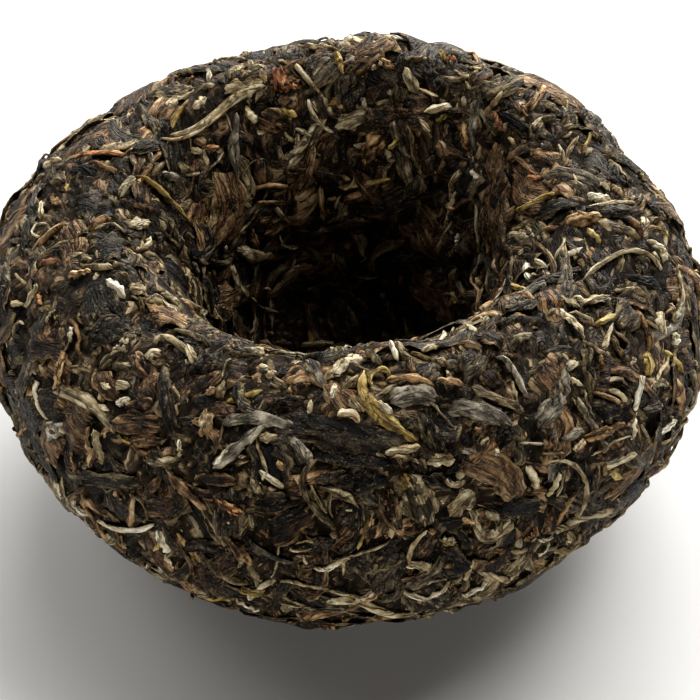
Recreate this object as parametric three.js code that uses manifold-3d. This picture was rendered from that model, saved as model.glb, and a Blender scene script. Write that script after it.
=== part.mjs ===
// A pu-erh tuocha: a nest-shaped cake of compressed tea leaves, lying on its dome with the hollow up.
// Millimetres, +Z up, origin at the middle of the flat spot that the dome rests on.
// The cake is one solid: a lathe-turned core, pressed a little out of round, with its largest leaves
// fused on. Each leaf is a bent, flat-backed strip that lies in the skin of the cake.
import * as THREE from "three";
import { mergeVertices } from "three/addons/utils/BufferGeometryUtils.js";
import Module from "manifold-3d";

// Driving sizes of the pressed form
const WAIST_RADIUS = 42;
const WAIST_HEIGHT = 25;
const CREST_RADIUS = 26.2;
const CREST_HEIGHT = 43.8;
const THROAT_RADIUS = 14;
const THROAT_HEIGHT = 18.5;
const HOLLOW_FLOOR = 9;
const SPOT_PRESS = 0.7; // how much of the dome's tip the flat spot takes away
const SPOT_EASE = 2; // height over which the core comes up to the form's skin around the spot
const DOME_POWER = 2.18; // 2 is an ellipse, more is squarer
const SHOULDER_POWER = 1.87;
const WALL_POWER = 1.6; // of the hollow's wall, from the crest down to the throat

// How far the form is out of round, each [waves around the cake, cosine part, sine part]: its reach as
// a share of the radius, and the crest's height in millimetres.
const ROUNDNESS_LOBES = [[2, 0.03, -0.029], [3, 0.012, 0.024]];
const CREST_LOBES = [[1, 1.0, 1.1], [2, -1.7, 0.7], [3, -0.8, 0.25], [9, 0.45, -0.15]];

// The skin of leaves
const LEAF_SKIN = 1.1; // from the outermost leaves down to the core
const LEAF_COUNT = 160;
const LEAF_LENGTH = [9, 19];
const LEAF_WIDTH = [2.2, 3.8];
const LEAF_DEPTH = [0, 0.45]; // of a leaf's back under the pressed form
const LEAF_ROOT = 0.7; // how far a leaf's edges are sunk in the core
const LEAF_STATIONS = 3;
const LEAF_SECTION = [[1, 0], [0.55, 1], [-0.55, 1], [-1, 0]]; // [share of half width, share of height]
const LEAF_SEED = 2417;
const GOLDEN_ANGLE = Math.PI * (3 - Math.sqrt(5));

// The core's mesh and its low relief
const CORE_SEGMENTS = 38;
const CORE_STATIONS = 19;
const BUMP_DEPTH = 0.5;
const BUMP_WAVES = [[5, 0.21, 0.4], [-7, 0.33, 1.9], [11, -0.27, 4.4]]; // [around, per mm along, phase]
const POLE_FADE = 8; // radius in which lobes and bumps fade out towards the axis

const PROFILE_STEPS = 60; // of each arc of the profile

// A quarter of a superellipse, from its side point to its end point, as shares of its two half axes.
function quarterArc(power, share) {
  const turn = (share * Math.PI) / 2;
  return [Math.sin(turn) ** (2 / power), Math.cos(turn) ** (2 / power)];
}

// The half outline of the pressed form, from the flat spot out over the dome, the waist and the crest,
// and down to the floor of the hollow. Each point is [radius, height].
function formProfile() {
  const points = [];
  const arc = (power, place) => {
    for (let step = 0; step < PROFILE_STEPS; step += 1) {
      const [out, back] = quarterArc(power, step / PROFILE_STEPS);
      points.push(place(out, back));
    }
  };
  const domeDepth = WAIST_HEIGHT + SPOT_PRESS;
  arc(DOME_POWER, (out, back) => [WAIST_RADIUS * out, Math.max(0, WAIST_HEIGHT - domeDepth * back)]);
  arc(SHOULDER_POWER, (out, back) => [
    CREST_RADIUS + (WAIST_RADIUS - CREST_RADIUS) * back,
    WAIST_HEIGHT + (CREST_HEIGHT - WAIST_HEIGHT) * out,
  ]);
  arc(WALL_POWER, (out, back) => [
    CREST_RADIUS - (CREST_RADIUS - THROAT_RADIUS) * out,
    THROAT_HEIGHT + (CREST_HEIGHT - THROAT_HEIGHT) * back,
  ]);
  arc(2, (out, back) => [
    THROAT_RADIUS * back,
    THROAT_HEIGHT - (THROAT_HEIGHT - HOLLOW_FLOOR) * out,
  ]);
  points.push([0, HOLLOW_FLOOR]);
  return points;
}

// The same outline measured along its length, and the area that each stretch sweeps around the axis.
function measuredProfile() {
  const points = formProfile();
  const lengths = [0];
  const areas = [0];
  for (let i = 1; i < points.length; i += 1) {
    const [r0, z0] = points[i - 1];
    const [r1, z1] = points[i];
    const step = Math.hypot(r1 - r0, z1 - z0);
    lengths.push(lengths[i - 1] + step);
    areas.push(areas[i - 1] + step * Math.PI * (r0 + r1));
  }
  return { points, lengths, areas };
}

const PROFILE = measuredProfile();
const PROFILE_LENGTH = PROFILE.lengths.at(-1);
const FORM_AREA = PROFILE.areas.at(-1);

// The index and share of a value in an ascending list.
function bracket(list, value) {
  const clamped = THREE.MathUtils.clamp(value, list[0], list.at(-1));
  let low = 0;
  let high = list.length - 1;
  while (high - low > 1) {
    const middle = (low + high) >> 1;
    if (list[middle] <= clamped) low = middle;
    else high = middle;
  }
  return [low, (clamped - list[low]) / (list[high] - list[low] || 1)];
}

function lobeSum(lobes, angle) {
  return lobes.reduce((sum, [n, c, s]) => sum + c * Math.cos(n * angle) + s * Math.sin(n * angle), 0);
}

// A point of the pressed form: angle around the axis, and distance along the outline from the flat spot.
function formPoint(angle, along) {
  const [i, share] = bracket(PROFILE.lengths, along);
  const [r0, z0] = PROFILE.points[i];
  const [r1, z1] = PROFILE.points[i + 1];
  const radius = THREE.MathUtils.lerp(r0, r1, share);
  const height = THREE.MathUtils.lerp(z0, z1, share);
  const rise = (height / CREST_HEIGHT) ** 2 * Math.min(1, radius / POLE_FADE);
  const reach = radius * (1 + lobeSum(ROUNDNESS_LOBES, angle));
  const lift = rise * lobeSum(CREST_LOBES, angle);
  return new THREE.Vector3(reach * Math.cos(angle), reach * Math.sin(angle), height + lift);
}

// The form's outward normal, and its directions around the axis and along the outline.
function formFrame(angle, along) {
  const turn = 0.02;
  const step = 0.4;
  const around = formPoint(angle + turn, along).sub(formPoint(angle - turn, along)).normalize();
  const onward = formPoint(angle, along + step).sub(formPoint(angle, along - step)).normalize();
  return { around, onward, normal: new THREE.Vector3().crossVectors(around, onward).normalize() };
}

// The core's skin: the form, taken in by the leaf layer, with low bumps where leaves lie deeper.
function corePoint(angle, along) {
  const point = formPoint(angle, along);
  const fade = Math.min(1, Math.hypot(point.x, point.y) / POLE_FADE);
  const wave = BUMP_WAVES.reduce((sum, [n, k, phase]) => sum + Math.sin(n * angle + k * along + phase), 0);
  const footing = Math.min(1, Math.max(0, point.z) / SPOT_EASE);
  const depth = footing * (LEAF_SKIN - (BUMP_DEPTH * fade * wave) / BUMP_WAVES.length);
  const lowered = point.addScaledVector(formFrame(angle, along).normal, -depth);
  if (fade < 1e-6) lowered.setX(0).setY(0);
  return lowered;
}

function coreGeometry() {
  const outline = [];
  for (let j = 0; j <= CORE_STATIONS; j += 1) {
    const along = (j / CORE_STATIONS) * PROFILE_LENGTH;
    const [i, share] = bracket(PROFILE.lengths, along);
    const radius = THREE.MathUtils.lerp(PROFILE.points[i][0], PROFILE.points[i + 1][0], share);
    const height = THREE.MathUtils.lerp(PROFILE.points[i][1], PROFILE.points[i + 1][1], share);
    outline.push(new THREE.Vector2(radius, height));
  }
  const core = new THREE.LatheGeometry(outline, CORE_SEGMENTS);
  core.rotateX(Math.PI / 2);
  const position = core.getAttribute("position");
  for (let k = 0; k < position.count; k += 1) {
    const angle = (Math.floor(k / outline.length) % CORE_SEGMENTS) * ((2 * Math.PI) / CORE_SEGMENTS);
    const place = corePoint(angle - Math.PI / 2, ((k % outline.length) / CORE_STATIONS) * PROFILE_LENGTH);
    position.setXYZ(k, place.x, place.y, place.z);
  }
  return core;
}

// A repeatable stream of numbers from 0 to 1.
function seededNumbers(seed) {
  let state = seed >>> 0;
  return () => {
    state = (state + 0x6d2b79f5) >>> 0;
    let mixed = Math.imul(state ^ (state >>> 15), state | 1);
    mixed ^= mixed + Math.imul(mixed ^ (mixed >>> 7), mixed | 61);
    return ((mixed ^ (mixed >>> 14)) >>> 0) / 4294967296;
  };
}

// The largest leaves, spread evenly over the whole skin on a golden spiral.
function leafPlan() {
  const draw = seededNumbers(LEAF_SEED);
  const between = ([low, high]) => low + (high - low) * draw();
  const leaves = [];
  for (let i = 0; i < LEAF_COUNT; i += 1) {
    const [k, share] = bracket(PROFILE.areas, ((i + 0.5) / LEAF_COUNT) * FORM_AREA);
    leaves.push({
      angle: i * GOLDEN_ANGLE,
      along: THREE.MathUtils.lerp(PROFILE.lengths[k], PROFILE.lengths[k + 1], share),
      heading: draw() * 2 * Math.PI,
      length: between(LEAF_LENGTH),
      width: between(LEAF_WIDTH),
      bend: (draw() + draw() - 1) * 2.2,
      depth: between(LEAF_DEPTH),
      lean: (draw() - 0.5) * 0.5,
    });
  }
  return leaves.sort((a, b) => b.length * b.width - a.length * a.width);
}

// One leaf: a strip that walks over the form on its heading and bends as it goes. Its section stands on
// two edges sunk in the core, and it tapers to a sunk point at each end.
function leafGeometry(leaf) {
  const vertices = [];
  const faces = [];
  const walk = leaf.length / (LEAF_STATIONS + 1);
  let { angle, along } = leaf;
  for (let i = 0; i <= LEAF_STATIONS + 1; i += 1) {
    const share = i / (LEAF_STATIONS + 1);
    const heading = leaf.heading + leaf.bend * (share - 0.5);
    const { around, onward, normal } = formFrame(angle, along);
    const ahead = around.multiplyScalar(Math.cos(heading)).addScaledVector(onward, Math.sin(heading));
    const side = new THREE.Vector3().crossVectors(normal, ahead);
    const middle = formPoint(angle, along);
    const half = (leaf.width / 2) * Math.sqrt(Math.sin(Math.PI * THREE.MathUtils.lerp(0.1, 0.9, share)));
    const root = middle.clone().addScaledVector(normal, -LEAF_SKIN - LEAF_ROOT);
    const corners = i === 0 || i === LEAF_STATIONS + 1 ? [[0, 0]] : LEAF_SECTION;
    for (const [across, up] of corners) {
      const rise = up * (LEAF_SKIN + LEAF_ROOT - leaf.depth - leaf.lean * across);
      vertices.push(root.clone().addScaledVector(side, across * half).addScaledVector(normal, rise));
    }
    const radius = Math.max(POLE_FADE, Math.hypot(middle.x, middle.y));
    angle += (Math.cos(heading) * walk) / radius;
    along = THREE.MathUtils.clamp(along + Math.sin(heading) * walk, 1, PROFILE_LENGTH - 1);
  }
  const sides = LEAF_SECTION.length;
  const last = vertices.length - 1;
  for (let corner = 0; corner < sides; corner += 1) {
    const next = (corner + 1) % sides;
    faces.push(0, 1 + next, 1 + corner);
    for (let here = 1; here < last - sides; here += sides) {
      faces.push(here + corner, here + next, here + sides + next);
      faces.push(here + corner, here + sides + next, here + sides + corner);
    }
    faces.push(last, last - sides + corner, last - sides + next);
  }
  const strip = new THREE.BufferGeometry().setFromPoints(vertices);
  strip.setIndex(faces);
  return strip;
}

const wasm = await Module();
wasm.setup();

// A closed geometry as a manifold-3d solid, and back.
function solidFrom(geometry) {
  const bare = geometry.clone();
  bare.deleteAttribute("normal");
  bare.deleteAttribute("uv");
  const merged = mergeVertices(bare, 1e-3);
  return new wasm.Manifold(
    new wasm.Mesh({
      numProp: 3,
      vertProperties: new Float32Array(merged.getAttribute("position").array),
      triVerts: new Uint32Array(merged.index.array),
    }),
  );
}

function geometryFrom(solid) {
  const mesh = solid.getMesh();
  const geometry = new THREE.BufferGeometry();
  geometry.setAttribute("position", new THREE.BufferAttribute(mesh.vertProperties, 3));
  geometry.setIndex(new THREE.BufferAttribute(mesh.triVerts, 1));
  geometry.computeVertexNormals();
  return geometry;
}

// The cake: the core with its leaves fused on, cut flat where it rests.
function cakeGeometry() {
  const core = solidFrom(coreGeometry());
  const fused = leafPlan().reduce((cake, leaf) => cake.add(solidFrom(leafGeometry(leaf))), core);
  const span = WAIST_RADIUS * 3;
  const ground = new THREE.BoxGeometry(span, span, span).translate(0, 0, -span / 2);
  const pieces = fused.subtract(solidFrom(ground)).decompose();
  pieces.sort((a, b) => b.volume() - a.volume());
  return geometryFrom(pieces[0]);
}

const tuocha = new THREE.Mesh(
  cakeGeometry(),
  new THREE.MeshStandardMaterial({ color: 0x2c241c, roughness: 0.72, metalness: 0 }),
);
tuocha.name = "tuocha";

const cake = new THREE.Group();
cake.add(tuocha);

export default cake;
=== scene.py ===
"""A pu-erh tuocha: a nest-shaped cake of pressed tea leaves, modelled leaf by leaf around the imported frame.

Lengths are in millimetres until a mesh is made, and angles in radians. A place on the cake is given by
its angle around the axis and its distance along the half outline, from the flat spot to the hollow's floor.
"""
import math
from types import SimpleNamespace

import bpy
import numpy as np
from mathutils import Matrix, Vector
from mathutils.kdtree import KDTree


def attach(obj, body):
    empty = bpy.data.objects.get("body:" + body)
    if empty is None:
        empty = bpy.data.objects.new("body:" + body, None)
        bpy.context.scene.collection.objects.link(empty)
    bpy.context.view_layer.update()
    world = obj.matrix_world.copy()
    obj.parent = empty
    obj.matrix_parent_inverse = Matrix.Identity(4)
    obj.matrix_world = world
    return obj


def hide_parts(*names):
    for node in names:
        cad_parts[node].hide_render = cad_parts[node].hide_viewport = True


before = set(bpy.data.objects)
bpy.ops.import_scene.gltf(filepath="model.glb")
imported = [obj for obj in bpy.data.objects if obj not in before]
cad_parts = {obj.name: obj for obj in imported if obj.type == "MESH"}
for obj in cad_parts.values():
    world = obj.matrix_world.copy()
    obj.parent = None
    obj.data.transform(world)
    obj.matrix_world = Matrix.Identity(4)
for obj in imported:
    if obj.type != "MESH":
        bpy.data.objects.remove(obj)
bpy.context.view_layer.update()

MM = 0.001
NODE = "tuocha"

# The pressed form, with the driving sizes of the frame's solid
WAIST_RADIUS = 42.0
WAIST_HEIGHT = 25.0
CREST_RADIUS = 26.2
CREST_HEIGHT = 43.8
THROAT_RADIUS = 14.0
THROAT_HEIGHT = 18.5
HOLLOW_FLOOR = 9.0
SPOT_PRESS = 0.7
DOME_POWER = 2.18
SHOULDER_POWER = 1.87
WALL_POWER = 1.6
ROUNDNESS_LOBES = ((2, 0.03, -0.029), (3, 0.012, 0.024))
CREST_LOBES = ((1, 1.0, 1.1), (2, -1.7, 0.7), (3, -0.8, 0.25), (9, 0.45, -0.15))
POLE_FADE = 8.0
ARC_STEPS = 120

# The camera, as the photograph was taken
CAMERA_PIVOT = (0, 0, 23)
CAMERA_DISTANCE = 360
CAMERA_ELEVATION = math.radians(43.2)
CAMERA_ROLL = math.radians(-1.93)
PIXELS_PER_MM = 8.347  # at the pivot
FRAME_PIXELS = 700
PIVOT_PIXEL = (340.5, 334.0)
SENSOR = 36.0


# ---- the pressed form

def quarter_arc(power):
    """A quarter of a superellipse, from its side point to its end, as shares of its two half axes."""
    turn = np.linspace(0, math.pi / 2, ARC_STEPS, endpoint=False)
    return np.sin(turn) ** (2 / power), np.cos(turn) ** (2 / power)


def form_outline():
    """The half outline [radius, height], from the flat spot over the crest to the hollow's floor."""
    out, back = quarter_arc(DOME_POWER)
    dome = WAIST_RADIUS * out, np.maximum(0, WAIST_HEIGHT - (WAIST_HEIGHT + SPOT_PRESS) * back)
    out, back = quarter_arc(SHOULDER_POWER)
    shoulder = (
        CREST_RADIUS + (WAIST_RADIUS - CREST_RADIUS) * back,
        WAIST_HEIGHT + (CREST_HEIGHT - WAIST_HEIGHT) * out,
    )
    out, back = quarter_arc(WALL_POWER)
    wall = (
        CREST_RADIUS - (CREST_RADIUS - THROAT_RADIUS) * out,
        THROAT_HEIGHT + (CREST_HEIGHT - THROAT_HEIGHT) * back,
    )
    floor = THROAT_RADIUS * back, THROAT_HEIGHT - (THROAT_HEIGHT - HOLLOW_FLOOR) * out
    arcs = [np.stack(arc, 1) for arc in (dome, shoulder, wall, floor)]
    return np.concatenate([*arcs, [[0, HOLLOW_FLOOR]]])


OUTLINE = form_outline()
STRETCHES = np.linalg.norm(np.diff(OUTLINE, axis=0), axis=1)
LENGTHS = np.concatenate([[0], np.cumsum(STRETCHES)])
AREAS = np.concatenate([[0], np.cumsum(STRETCHES * math.pi * (OUTLINE[1:, 0] + OUTLINE[:-1, 0]))])
SLOPES = np.gradient(OUTLINE, LENGTHS, axis=0)
OUTLINE_LENGTH = LENGTHS[-1]
CREST_STOP = OUTLINE[:, 1].argmax()


def unit(vectors):
    return vectors / np.maximum(np.linalg.norm(vectors, axis=-1, keepdims=True), 1e-12)


def lobe_sum(lobes, angle):
    return sum(c * np.cos(n * angle) + s * np.sin(n * angle) for n, c, s in lobes)


def outline_at(along):
    return np.interp(along, LENGTHS, OUTLINE[:, 0]), np.interp(along, LENGTHS, OUTLINE[:, 1])


def crest_lift(radius, height, angle):
    """How far the uneven crest lifts or lowers the form."""
    share = (height / CREST_HEIGHT) ** 2 * np.minimum(1, radius / POLE_FADE)
    return share * lobe_sum(CREST_LOBES, angle)


def form_point(angle, along):
    radius, height = outline_at(along)
    reach = radius * (1 + lobe_sum(ROUNDNESS_LOBES, angle))
    lift = crest_lift(radius, height, angle)
    return np.stack([reach * np.cos(angle), reach * np.sin(angle), height + lift], -1)


def form_frame(angle, along, turn=0.02, step=0.4):
    """The form's directions around the axis and along the outline, and its outward normal."""
    around = unit(form_point(angle + turn, along) - form_point(angle - turn, along))
    onward = unit(form_point(angle, along + step) - form_point(angle, along - step))
    return around, onward, unit(np.cross(around, onward))


def form_places(points):
    """The angles around the axis, and the round form's own radius and level, of points near the skin."""
    angle = np.arctan2(points[..., 1], points[..., 0])
    reach = np.hypot(points[..., 0], points[..., 1]) / (1 + lobe_sum(ROUNDNESS_LOBES, angle))
    level = points[..., 2] - crest_lift(reach, points[..., 2], angle)
    return angle, reach, level


def snap(points, along, rounds=3):
    """The form's points nearest to some points, the normals there and their distances along the outline."""
    angle, reach, _ = form_places(points)
    for _ in range(rounds):
        radius, height = outline_at(along)
        level = points[..., 2] - crest_lift(radius, height, angle)
        slope_out = np.interp(along, LENGTHS, SLOPES[:, 0])
        slope_up = np.interp(along, LENGTHS, SLOPES[:, 1])
        along = along + (reach - radius) * slope_out + (level - height) * slope_up
        along = np.clip(along, 0, OUTLINE_LENGTH)
    return form_point(angle, along), form_frame(angle, along)[2], along


SWELL_HEIGHT = 0.1
SWELLS = ((7, 0.21, 0.4), (11, -0.33, 2.2), (17, 0.47, 5.1), (23, -0.61, 1.3), (5, -0.85, 3.7))


def unevenness(angle, along):
    """The low swells and dips that the pressing cloth left in the skin."""
    return SWELL_HEIGHT * sum(np.sin(turns * angle + pace * along + phase) for turns, pace, phase in SWELLS)


# ---- the camera

def camera_turn():
    """The camera's rotation: its third column points from the cake back to the camera."""
    back = Vector((0, -math.cos(CAMERA_ELEVATION), math.sin(CAMERA_ELEVATION)))
    return back.to_track_quat("Z", "Y").to_matrix() @ Matrix.Rotation(CAMERA_ROLL, 3, "Z")


def camera_spot():
    """The camera's place."""
    return Vector(CAMERA_PIVOT) + camera_turn().col[2] * CAMERA_DISTANCE


RAY_REACH = 60
RAY_STOPS = 1200


def seen(pixels):
    """The distances along the outline, and the points of the form, that the camera sees at some pixels."""
    focal = PIXELS_PER_MM * CAMERA_DISTANCE
    offset = (pixels - np.array(PIVOT_PIXEL)) / focal * (1, -1)
    rays = np.concatenate([offset, -np.ones((*offset.shape[:-1], 1))], -1) @ np.array(camera_turn()).T
    reach = np.linspace(CAMERA_DISTANCE - RAY_REACH, CAMERA_DISTANCE + RAY_REACH, RAY_STOPS)
    stops = np.array(camera_spot()) + rays[..., None, :] * reach[:, None]
    _, radius, level = form_places(stops)
    outer = np.interp(level, OUTLINE[: CREST_STOP + 1, 1], OUTLINE[: CREST_STOP + 1, 0])
    inner = np.interp(level, OUTLINE[CREST_STOP:, 1][::-1], OUTLINE[CREST_STOP:, 0][::-1])
    inside = (radius < outer) & (radius > inner) & (level > 0) & (level < CREST_HEIGHT)
    first = inside.argmax(-1)[..., None]
    point = np.take_along_axis(stops, first[..., None], -2)[..., 0, :]
    radius = np.take_along_axis(radius, first, -1)
    level = np.take_along_axis(level, first, -1)
    near = ((radius - OUTLINE[:, 0]) ** 2 + (level - OUTLINE[:, 1]) ** 2).argmin(-1)
    return LENGTHS[near], point


# ---- centre lines

def walk(leaves, stations):
    """Each leaf's centre line in the skin: points, directions, normals and distances along the outline."""
    around, onward, normal = form_frame(leaves.angle, leaves.along)
    heading = leaves.heading - leaves.bend / 2
    ahead = around * np.cos(heading)[:, None] + onward * np.sin(heading)[:, None]
    point = form_point(leaves.angle, leaves.along)
    along = leaves.along
    step = leaves.length / (stations - 1)
    stops = []
    for i in range(stations):
        stops.append((point, ahead, normal, along))
        sway = leaves.sway * math.cos(2 * math.pi * i / (stations - 1)) / (stations - 1)
        turn = (leaves.bend / (stations - 1) + sway)[:, None]
        ahead = ahead * np.cos(turn) + np.cross(normal, ahead) * np.sin(turn)
        point, normal, along = snap(point + ahead * step[:, None], along)
        ahead = unit(ahead - (ahead * normal).sum(-1, keepdims=True) * normal)
    return [np.stack(column, 1) for column in zip(*stops)]


CURVE_ORDER = 3


def follow(paths, stations):
    """Centre lines, as walk gives them, that follow smooth curves through some pixels of the photograph."""
    share = np.linspace(0, 1, stations)
    curves = []
    for path in paths:
        stretch = np.linalg.norm(np.diff(path, axis=0), axis=1)
        reached = np.concatenate([[0], np.cumsum(stretch)]) / stretch.sum()
        order = min(len(path) - 1, CURVE_ORDER)
        fits = (np.polyfit(reached, axis, order) for axis in path.T)
        curves.append(np.stack([np.polyval(fit, share) for fit in fits], -1))
    along, point = seen(np.array(curves))
    point, normal, along = snap(point, along)
    ahead = unit(np.gradient(point, axis=1))
    return point, ahead, normal, along


# ---- leaves on their centre lines

FLOOR_GAP = 0.02
COVER_DEPTH = 0.65
COVER_MARGIN = 0.3
TRACK_STATIONS = 14


def soft_ceiling(height, ceiling=0.2, sharpness=7.0):
    """Presses what would stand out of the form back towards it, without a crease."""
    return ceiling - np.logaddexp(0, sharpness * (ceiling - height)) / sharpness


def dress(line, cut):
    """Puts a section at each station of the centre lines, pressed into the form's uneven skin."""
    point, ahead, normal, along = line
    side = np.cross(normal, ahead)
    spread = point[:, :, None] + side[:, :, None] * cut.across[..., None]
    spread = spread + ahead[:, :, None] * cut.slide[..., None]
    base, out, along = snap(spread, np.broadcast_to(along[:, :, None], cut.across.shape))
    angle = np.arctan2(base[..., 1], base[..., 0])
    height = soft_ceiling(cut.height) - cut.carve + unevenness(angle, along)
    skin = base + out * height[..., None]
    skin[..., 2] = np.maximum(skin[..., 2], FLOOR_GAP)
    return skin


def tube_faces(count, stations, corners):
    """Faces of closed tubes: quads along the walls, and a fan on a middle point at each end."""
    size = stations * corners + 2
    ring = np.arange(corners)
    after = (ring + 1) % corners
    rows = np.arange(stations - 1)[:, None] * corners
    quads = np.stack([rows + ring, rows + after, rows + corners + after, rows + corners + ring], -1)
    last = (stations - 1) * corners
    start = np.stack([np.full(corners, size - 2), after, ring], -1)
    end = np.stack([np.full(corners, size - 1), last + ring, last + after], -1)
    first = np.arange(count)[:, None, None] * size
    quads = (quads.reshape(1, -1, 4) + first).reshape(-1, 4)
    fans = (np.concatenate([start, end])[None] + first).reshape(-1, 3)
    return quads, fans


def with_ends(values):
    """Adds to each leaf's corners the two middle points on which its ends close."""
    ends = np.stack([values[:, 0].mean(1), values[:, -1].mean(1)], 1)
    size = values.shape[-1]
    return np.concatenate([values.reshape(len(values), -1, size), ends], 1).reshape(-1, size)


def tubes(leaves, stations, section, above=None):
    """Closed meshes of some leaves, with what their material needs to know at each point."""
    share = np.linspace(0, 1, stations)[None, :, None]
    cut = section(leaves, share)
    line = follow(leaves.paths, stations) if leaves.paths else walk(leaves, stations)
    shape = cut.across.shape
    cut.height = cut.height + column(leaves.lift)
    if above:
        cut.height = cut.height - COVER_DEPTH * covered(line[0], above)[..., None]
    grain = column(leaves.length) * share, cut.across, column(leaves.seed)
    look = column(leaves.tint), column(leaves.tone), cut.edge
    quads, fans = tube_faces(shape[0], stations, shape[2])
    return SimpleNamespace(
        points=with_ends(dress(line, cut)),
        quads=quads,
        fans=fans,
        grain=with_ends(np.stack([np.broadcast_to(values, shape) for values in grain], -1)),
        look=with_ends(np.stack([np.broadcast_to(values, shape) for values in look], -1)),
        painted_light=with_ends(np.broadcast_to(cut.painted_light, shape)[..., None]),
    )


def path_of(row):
    """A landmark's path: the pixels that follow its width."""
    return np.reshape(row[1:], (-1, 2)).astype(float)


def tracks(rows):
    """The centre lines of the leaves in rows, as a tree of points with the half width at each."""
    lines = follow([path_of(row) for row in rows], TRACK_STATIONS)[0].reshape(-1, 3)
    tree = KDTree(len(lines))
    for i, point in enumerate(lines):
        tree.insert(point, i)
    tree.balance()
    return tree, np.repeat([row[0] / 2 / PIXELS_PER_MM for row in rows], TRACK_STATIONS)


def covered(points, above):
    """How far, from 0 to 1, some points lie under the leaves above them."""
    tree, half_width = above
    near = [tree.find(point)[1:] for point in points.reshape(-1, 3)]
    gap = np.array([distance - half_width[i] for i, distance in near]).reshape(points.shape[:-1])
    share = np.clip(1 - gap / COVER_MARGIN, 0, 1)
    return share * share * (3 - 2 * share)


def joined(shells):
    """Several shells as one."""
    firsts = np.cumsum([0] + [len(shell.points) for shell in shells])
    return SimpleNamespace(
        quads=np.concatenate([shell.quads + first for shell, first in zip(shells, firsts)]),
        fans=np.concatenate([shell.fans + first for shell, first in zip(shells, firsts)]),
        **{
            name: np.concatenate([getattr(shell, name) for shell in shells])
            for name in ("points", "grain", "look", "painted_light")
        },
    )


# ---- sections

# A section is a function of some leaves and of the share of their length. For each corner it gives its place
# across the leaf, its height over the form, how deep it is carved and how far it slides along the leaf, and
# for the material whether it is at the rim and how much painted light it gets: painted shade in the creases
# between its folds and on its underside, and painted light on the fold ridges.

def column(values):
    """One value for each leaf, to go with the leaf's stations and corners."""
    return values[:, None, None]


def waves(random, count, terms=3, paces=(1.5, 7.0)):
    """A smooth random curve over the share 0 to 1 for each leaf, as a function."""
    phase = random.uniform(0, 2 * math.pi, (count, terms))
    pace = random.uniform(*paces, (count, terms))

    def curve(share):
        angle = share[..., None] * pace[:, None, None] * math.pi + phase[:, None, None]
        return np.sin(angle).mean(-1)

    return curve


def relief(leaves, along, across):
    """Smooth random relief from -1 to 1 on each leaf. along and across count its cells."""
    along, across = np.broadcast_arrays(along, across)
    cells = int(along.max()) + 2, int(across.max()) + 2
    grid = leaves.random.uniform(-1, 1, (leaves.count, *cells))
    leaf = np.arange(leaves.count)[:, None, None]
    i, j = along.astype(int), across.astype(int)
    a, b = along - i, across - j
    a, b = a * a * (3 - 2 * a), b * b * (3 - 2 * b)
    near = grid[leaf, i, j] * (1 - b) + grid[leaf, i, j + 1] * b
    far = grid[leaf, i + 1, j] * (1 - b) + grid[leaf, i + 1, j + 1] * b
    return near * (1 - a) + far * a


WIDTH_WANDER = 0.3
RAGGED_EDGE = 0.18
RAGGED_CELL = 1.5
LEAST_FOLDS = 4
FOLD_WANDER = 0.5
FOLD_POWER = 0.8
FOLD_CELL = 3.0
FOLD_STRENGTH = 0.6
FOLD_CHANGE = 0.4
CRUMPLE_CELLS = (1.5, 0.6)
CRUMPLE_SHARES = (0.4, 1.3)
GRID_OFFSET = 4
FACE_SWELL = 0.22
END_LEAN = 0.9
UNDERSIDE_CORNERS = [0.5, -0.5]
UNDERSIDE_DEPTH = 0.35
DIP_SHARES = (0.3, 1.0)
DISH_SHARES = (-0.2, 1)
SLANT = 0.5
TORN_LIMIT = 0.6
TORN_SHARE = 0.25
TORN_CELL = 0.01  # a share of the leaf, so that each strip across its end is torn as a whole
EDGE_START = 0.85
# The painted shade at the bottom of a fold's crease, as a share of the painted light on its ridge
LEAST_PAINTED_LIGHT = 0.2


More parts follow.
